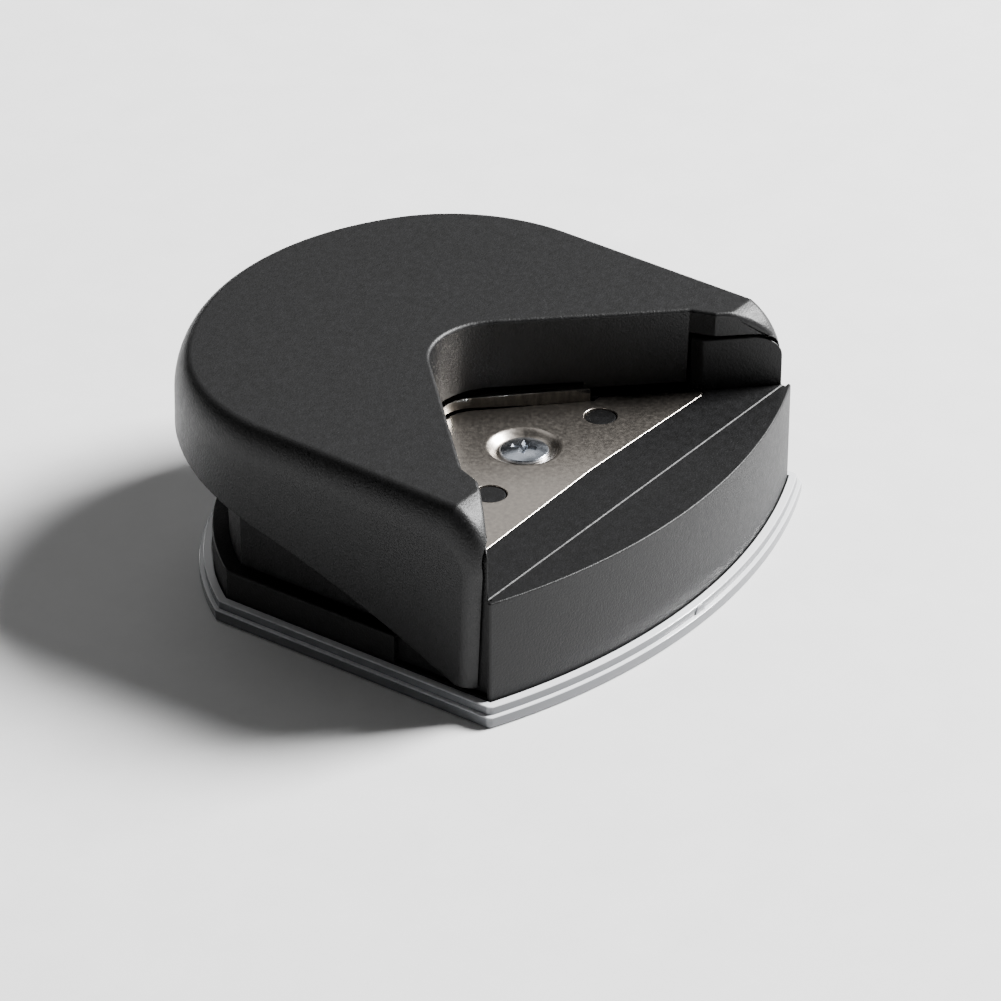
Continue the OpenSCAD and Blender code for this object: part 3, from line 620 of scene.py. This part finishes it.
def base_housing():
    """The base: foot, block and deck, hollowed for the punch, with its posts, bearings and pegs."""
    column_r, column_cover, nut_room, screw_bore_r = 4.4, 1.5, 2.4, 1.52
    pad_w, pad_front_y, pad_rear_y, pad_drop = 3, 7.5, 14.5, 2
    bearing_l, pocket_gap, axle_gap, plate_gap = 5, 0.4, 0.02, 0.12
    full = tray_outline(BODY_INSET)
    inner = tray_outline(INNER_INSET)
    body = prism(full, BASE_Z, LEDGE_Z, "base_housing_visual")
    block = common(prism(full, LEDGE_Z - OVER, DECK_Z),
                   box((-BLOCK_W / 2, -BIG, 0), (BLOCK_W / 2, BLOCK_REAR_Y, HIGH)))
    front_block = common(prism(full, LEDGE_Z - OVER, DECK_Z),
                         box((-BIG, -BIG, 0), (BIG, RECESS_FRONT_Y, HIGH)))
    add(body, block, prism(inner, LEDGE_Z - OVER, DECK_Z), front_block)
    room = INNER_INSET + SHELL_T
    under = DECK_Z - DECK_T
    front = common(prism(tray_outline(BODY_INSET + SHELL_T), 0, under),
                   box((-TRAY_W / 2 + room, -BIG, LOW), (TRAY_W / 2 - room, BLOCK_REAR_Y + OVER, HIGH)))
    cut(body, front, prism(tray_outline(room), 0, under),
        prism(tray_outline(BODY_INSET + SHELL_T), 0, LEDGE_Z - SHELL_T))
    chamber = common(prism(tray_outline(room), 0, DECK_Z + OVER),
                     box((-BIG, CHAMBER_FRONT_Y, LOW), (BIG, BIG, HIGH)))
    cut(chamber, prism(vee(WING_LINE, CUT_R, 0.2), LOW, HIGH))
    slot = common(prism(tray_outline(room), 0, DECK_Z + OVER),
                  box((-BLADE_W2 - BLADE_GAP, -BIG, LOW), (BLADE_W2 + BLADE_GAP, BIG, HIGH)))
    cut(slot, prism(vee(DIE_WALL_LINE, CUT_R), LOW, HIGH))
    cut(body, chamber, slot)
    wall = common(prism(vee(DIE_WALL_LINE, CUT_R), CARRIER_Z, PLATE_Z - 0.01),
                  box((-BLADE_W2, -WING_LINE - 4, LOW), (BLADE_W2, BIG, HIGH)))
    cut(wall, prism(vee(DIE_WALL_LINE, CUT_R, -SHELL_T), LOW, HIGH))
    add(body, wall, rod(0, SCREW_Y, column_r, NUT_Z - column_cover, PLATE_Z + 0.2))
    for side in (1, -1):
        add(body, guide_post(side))
        low, high = sorted((side * (BEARING_X - bearing_l), side * BEARING_X))
        add(body, rod_x(PIVOT_Y, PIVOT_Z, BOSS_R, low, high))
        low, high = sorted((side * (CARRIER_SCREW_X - pad_w), side * (INNER_W / 2)))
        pad = box((low, pad_front_y, CARRIER_Z + CARRIER_T), (high, pad_rear_y, PLATE_Z - pad_drop))
        add(body, common(pad, prism(tray_outline(INNER_INSET + OVER), 0, HIGH)))
        low, high = sorted((side * (CATCH_X - 3), side * (CATCH_X + 3)))
        add(body, common(box((low, LUG_Y, LUG_Z), (high, 40, LUG_TOP_Z)),
                         prism(tray_outline(INNER_INSET + 0.5), 0, HIGH)))
    cut(body, prism(plate_outline(plate_gap), PLATE_Z, DECK_Z + OVER))
    for side in (1, -1):
        low, high = sorted((side * BLOCK_W / 2, side * BIG))
        cut(body, box((low, RECESS_FRONT_Y, RIM_Z + 0.2), (high, LEDGE_FRONT_Y, LEDGE_Z + 0.01)))
        low, high = sorted((side * BEARING_X, side * (BEARING_X + bearing_l)))
        cut(body, rod_x(PIVOT_Y, PIVOT_Z, BOSS_R + pocket_gap, low, high))
        low, high = sorted((side * 5, side * BIG))
        cut(body, rod_x(PIVOT_Y, PIVOT_Z, AXLE_R + axle_gap, low, high, 32))
        cut(body, rod(side * CARRIER_SCREW_X, GUIDE_Y, TAPPED_R, 0, PLATE_Z - 3, 24))
    cut(body, rod(0, SCREW_Y, screw_bore_r, 0, 20, 32))
    nut = [(NUT_AF / math.sqrt(3) * math.cos(math.radians(60 * i)),
            SCREW_Y + NUT_AF / math.sqrt(3) * math.sin(math.radians(60 * i))) for i in range(6)]
    cut(body, prism(nut, 0, NUT_Z + nut_room))

    def outer(m, a, b):
        if m.z > DECK_Z + 0.2 or m.z < BASE_Z - 0.1:
            return False
        r = math.hypot(m.x, m.y - FRONT_CY)
        out = a.z > 0.5 or b.z > 0.5 or m.y < RECESS_FRONT_Y - 0.2
        front_edge = abs(r - (TRAY_FRONT_R - BODY_INSET)) < 0.15 or abs(m.x) > INNER_W / 2 - 0.1
        rear_edge = m.y > 0 and math.hypot(m.x, m.y - TRAY_CY) > TRAY_REAR_R - INNER_INSET - 0.1
        return out and (front_edge or rear_edge)

    round_edges(body, 0.22, 3, outer, 40)
    # Parting line across the front of the deck
    groove_w2 = 0.12
    groove = box((-BIG, -groove_w2, -groove_w2), (BIG, groove_w2, groove_w2))
    groove_place = Matrix.Translation((0, DECK_STEP_Y * MM, (DECK_Z + 0.06) * MM))
    groove.data.transform(groove_place @ Matrix.Rotation(math.radians(45), 4, "X"))
    cut(body, groove)
    for side in (1, -1):
        profile = [(0, PLATE_Z - OVER), (PEG_HOLE_R - 0.06, PLATE_Z - OVER),
                   (PEG_HOLE_R - 0.06, PLATE_TOP - 0.4), (PEG_HOLE_R - 0.16, PLATE_TOP - 0.21),
                   (PEG_HOLE_R - 0.35, PLATE_TOP - 0.15), (0, PLATE_TOP - 0.15)]
        add(body, lathe(profile, side * PEG_X, PEG_Y, 48))
    clean(body)
    return dress(body, "black_base", "base", ["base_housing"], 30)


# ---- Die ----

def plate_outline(g=0):
    """Die plate's outline, grown by g."""
    cy = VEE_Y - CUT_R * ROOT2
    r = CUT_R + g
    line = cy + ROOT2 * r
    wing = WING_LINE + g * ROOT2
    step_y = WING_REAR_Y + g
    w = PLATE_W2 + g
    right = [(0, PLATE_FRONT_Y + PLATE_DIP - g), (w, PLATE_FRONT_Y - g), (w, wing - w),
             (wing - step_y, step_y), (line - step_y, step_y)]
    apex = arc(0, cy, r, 45, 135, 32)
    left = [(-x, y) for x, y in right[:0:-1]]
    corners = [0, 0.9, 0.9, 0.5, 0]
    return fillet(right + apex + left, corners + [0] * len(apex) + corners[:0:-1], 5)


def die_plate():
    """The plate with its two locating holes and the dished screw seat."""
    plate = prism(plate_outline(), PLATE_Z, PLATE_TOP, "die_plate_visual")
    for side in (1, -1):
        cut(plate, rod(side * PEG_X, PEG_Y, PEG_HOLE_R, 0, 30, 64))
    profile = [(0, PLATE_Z - 1), (1.62, PLATE_Z - 1), (1.62, SCREW_Z), (DISH_FLOOR_R, SCREW_Z)]
    profile += [(DISH_FLOOR_R + (DISH_R - DISH_FLOOR_R) * t, SCREW_Z + DISH_D * (3 * t * t - 2 * t ** 3))
                for t in (0.12, 0.25, 0.4, 0.55, 0.7, 0.85, 0.94)]
    profile += [(DISH_R + 0.15, PLATE_TOP + 0.002), (DISH_R + 0.15, PLATE_TOP + 1), (0, PLATE_TOP + 1)]
    cut(plate, lathe(profile, 0, SCREW_Y, 72))

    def rim(m, a, b):
        near_dish = math.hypot(m.x, m.y - SCREW_Y) < 5.6
        return m.z > PLATE_TOP - 0.05 and not near_dish

    round_edges(plate, 0.16, 3, rim, 40)
    return dress(plate, "brushed_plate", "base", ["die_plate"], 20)


def die_screw():
    """Pan-head screw with a tapered cross recess."""
    head_r, head_h, side_h = 3, 0.95, 0.45
    crown_r = 9.25
    z = SCREW_Z
    profile = [(0, NUT_Z - 0.8), (1.35, NUT_Z - 0.8), (1.5, NUT_Z - 0.6), (1.5, z), (head_r - 0.08, z),
               (head_r, z + 0.08), (head_r, z + side_h - 0.12), (head_r - 0.05, z + side_h - 0.03)]
    top = [(x, z + head_h - crown_r + math.sqrt(crown_r ** 2 - x * x))
           for x in (2.88, 2.6, 2.2, 1.8, 1.35, 0.9, 0.45)]
    profile += top + [(0, z + head_h)]
    screw = lathe(profile, 0, SCREW_Y, 72, "die_screw_visual")
    half_len, wide, deep = 1.75, 0.55, 0.55
    for turn in (20, 110):
        blade = box((-half_len, -wide, z + head_h - deep), (half_len, wide, z + head_h + 0.05))
        bm = bmesh.new()
        bm.from_mesh(blade.data)
        for v in bm.verts:
            if v.co.z < (z + head_h) * MM:
                v.co.x *= 0.65
                v.co.y *= 0.25
        bm.to_mesh(blade.data)
        bm.free()
        spin = Matrix.Rotation(math.radians(turn), 4, "Z")
        blade.data.transform(Matrix.Translation((0, SCREW_Y * MM, 0)) @ spin)
        cut(screw, blade)
    return dress(screw, "zinc_steel", "base", ["die_screw"], 25)


# ---- Punch ----

def punch_blade():
    """The punch: a stepped blade that follows the die's rounded edge."""
    heel_x, heel_z, rise = 8.8, 12, 0.5
    outline = [(-BLADE_W2, heel_z), (-heel_x, heel_z), (-heel_x, BLADE_Z - rise), (0, BLADE_Z),
               (heel_x, BLADE_Z - rise), (heel_x, heel_z), (BLADE_W2, heel_z), (BLADE_W2, BLADE_TOP),
               (-BLADE_W2, BLADE_TOP)]
    n = len(outline)
    verts = [(x, y, z) for y in (VEE_Y - BLADE_W2, BLADE_REAR_Y) for x, z in outline]
    faces = [list(range(n)), list(range(n, 2 * n))[::-1]]
    faces += [[i, (i + 1) % n, n + (i + 1) % n, n + i] for i in range(n)]
    blade = make("punch_blade_visual", verts, faces)
    cut(blade, prism(vee(VEE_Y, CUT_R, DIE_GAP, 32), LOW, HIGH))
    behind = box((-BIG, -BIG, 0), (BIG, BIG, BLADE_Z - 0.001))
    cut(behind, prism(vee(VEE_Y, CUT_R, 1.5, 32), LOW, HIGH))
    cut(blade, behind)
    for side in (1, -1):
        cut(blade, rod(side * GUIDE_X, GUIDE_Y, 2.8, 0, 30), rod(side * 3.5, 11.6, TAPPED_R, 0, 30, 32))

    def top(m, a, b):
        return m.z > BLADE_TOP - 0.05

    round_edges(blade, 0.1, 2, top, 40)
    return dress(blade, "ground_blade", "punch", ["punch_blade"], 25)


# ---- Tray ----

def scrap_tray():
    """The tray: a stepped rim with rounded edges, an inner ring and a round mark from moulding."""
    edge, ring_gap, ring_t = 0.18, 0.25, 1

    def stack(levels):
        """Loft through (inset, z) levels of the outline with rounded corners."""
        loops = [tray_outline(inset, 0.9) for inset, z in levels]
        n = len(loops[0])
        verts = [(x, y, z) for loop, (inset, z) in zip(loops, levels) for x, y in loop]
        faces = [list(range(n))[::-1], list(range((len(levels) - 1) * n, len(levels) * n))]
        for k in range(len(levels) - 1):
            low, high = k * n, (k + 1) * n
            faces += [[low + i, low + (i + 1) % n, high + (i + 1) % n, high + i] for i in range(n)]
        return make("scrap_tray_visual", verts, faces)

    def curve(inset, z):
        """A quarter round at the top of a step."""
        return [(inset + edge * (1 - math.cos(math.radians(a))), z - edge * (1 - math.sin(math.radians(a))))
                for a in (0, 30, 60, 90)]

    levels = [(edge, 0)] + [(edge * (1 - math.sin(math.radians(a))), edge * (1 - math.cos(math.radians(a))))
                            for a in (30, 60, 90)]
    levels += curve(0, TRAY_STEP_Z) + [(RIM_STEP, TRAY_STEP_Z)] + curve(RIM_STEP, RIM_Z)
    tray = stack(levels)
    cut(tray, prism(tray_outline(BODY_INSET - 0.2), TRAY_FLOOR, HIGH))
    ring_in = BODY_INSET + SHELL_T + ring_gap
    ring = prism(tray_outline(ring_in), TRAY_FLOOR - 0.5, LEDGE_Z - SHELL_T - 0.4)
    cut(ring, prism(tray_outline(ring_in + ring_t), TRAY_FLOOR, HIGH))
    add(tray, ring)
    gate_r, gate_z, n = 0.9, 1.45, 36
    turns = [math.radians(360 / n * i) for i in range(n)]
    gate = [(gate_r * math.cos(a), gate_z + gate_r * math.sin(a)) for a in turns]
    y0, y1 = FRONT_Y + RIM_STEP - 0.15, FRONT_Y + RIM_STEP + 0.4
    disc = make("gate", [(x, y, z) for y in (y0, y1) for x, z in gate],
                [list(range(n)), list(range(n, 2 * n))[::-1]]
                + [[i, (i + 1) % n, n + (i + 1) % n, n + i] for i in range(n)])
    add(tray, disc)
    clean(tray, 0.1)
    return dress(tray, "clear_tray", "tray", ["scrap_tray"], 25)


base_housing()
scrap_tray()
die_plate()
die_screw()
punch_blade()
lever_cap()

shown = {"base_housing", "scrap_tray", "die_plate", "die_screw", "punch_blade", "lever_cap"}
slots = {s["node"]: s["material_slot"] for s in frame["record"]["subparts"]}
for name, obj in frame["nodes"].items():
    if name not in shown:
        obj.data.materials.clear()
        obj.data.materials.append(M[slots[name]])

# ---- Studio ----

def area_light(name, place, target, size, power):
    light = bpy.data.lights.new(name, "AREA")
    light.shape = "RECTANGLE"
    light.size, light.size_y = size
    light.energy = power
    obj = bpy.data.objects.new(name, light)
    bpy.context.scene.collection.objects.link(obj)
    obj.location = place
    obj.rotation_euler = (Vector(target) - Vector(place)).to_track_quat("-Z", "Y").to_euler()


# Lights: name, place, target, size in metres and power in watts
area_light("key_box", (1.02, -0.63, 0.9), (0, 0, 0.01), (0.6, 0.6), 125)
area_light("back_box", (0.6, 0.7, 0.9), (0.6, 0.7, 0), (1.8, 0.9), 3.8)

world = bpy.data.worlds.new("studio")
bpy.context.scene.world = world
world.use_nodes = True
sky = world.node_tree
height = sky.nodes.new("ShaderNodeSeparateXYZ")
wire(sky, sky.nodes.new("ShaderNodeTexCoord").outputs["Generated"], height.inputs["Vector"])
glow = ramp_node(sky, height.outputs["Z"], [(0, grey(0.25)), (0.12, grey(0.06)), (1, grey(0.03))])
wire(sky, glow.outputs["Color"], sky.nodes["Background"].inputs["Color"])

FLOOR_SIZE, FLOOR_DROP = 6, 0.00005
bpy.ops.mesh.primitive_plane_add(size=FLOOR_SIZE, location=(0, 0, -FLOOR_DROP))
floor = bpy.context.object
floor.name = "floor"
paper = surface("floor_paper", grey(0.78), grey(0.82), (0.7, 0.8), 300, (0.02, 0.02))
floor.data.materials.append(paper)

# Focal length and sensor in millimetres, camera's place in millimetres and the way it looks
LENS, SENSOR = 155.69, 36
CAMERA_PLACE = (-369.2, -270.75, 275.7)
CAMERA_LOOK = (0.6985, 0.5030, -0.5090)
camera_data = bpy.data.cameras.new("camera")
camera_data.lens = LENS
camera_data.sensor_width = SENSOR
camera_data.clip_start = 0.01
camera = bpy.data.objects.new("camera", camera_data)
bpy.context.scene.collection.objects.link(camera)
camera.location = Vector(CAMERA_PLACE) * MM
camera.rotation_euler = Vector(CAMERA_LOOK).to_track_quat("-Z", "Y").to_euler()
bpy.context.scene.camera = camera
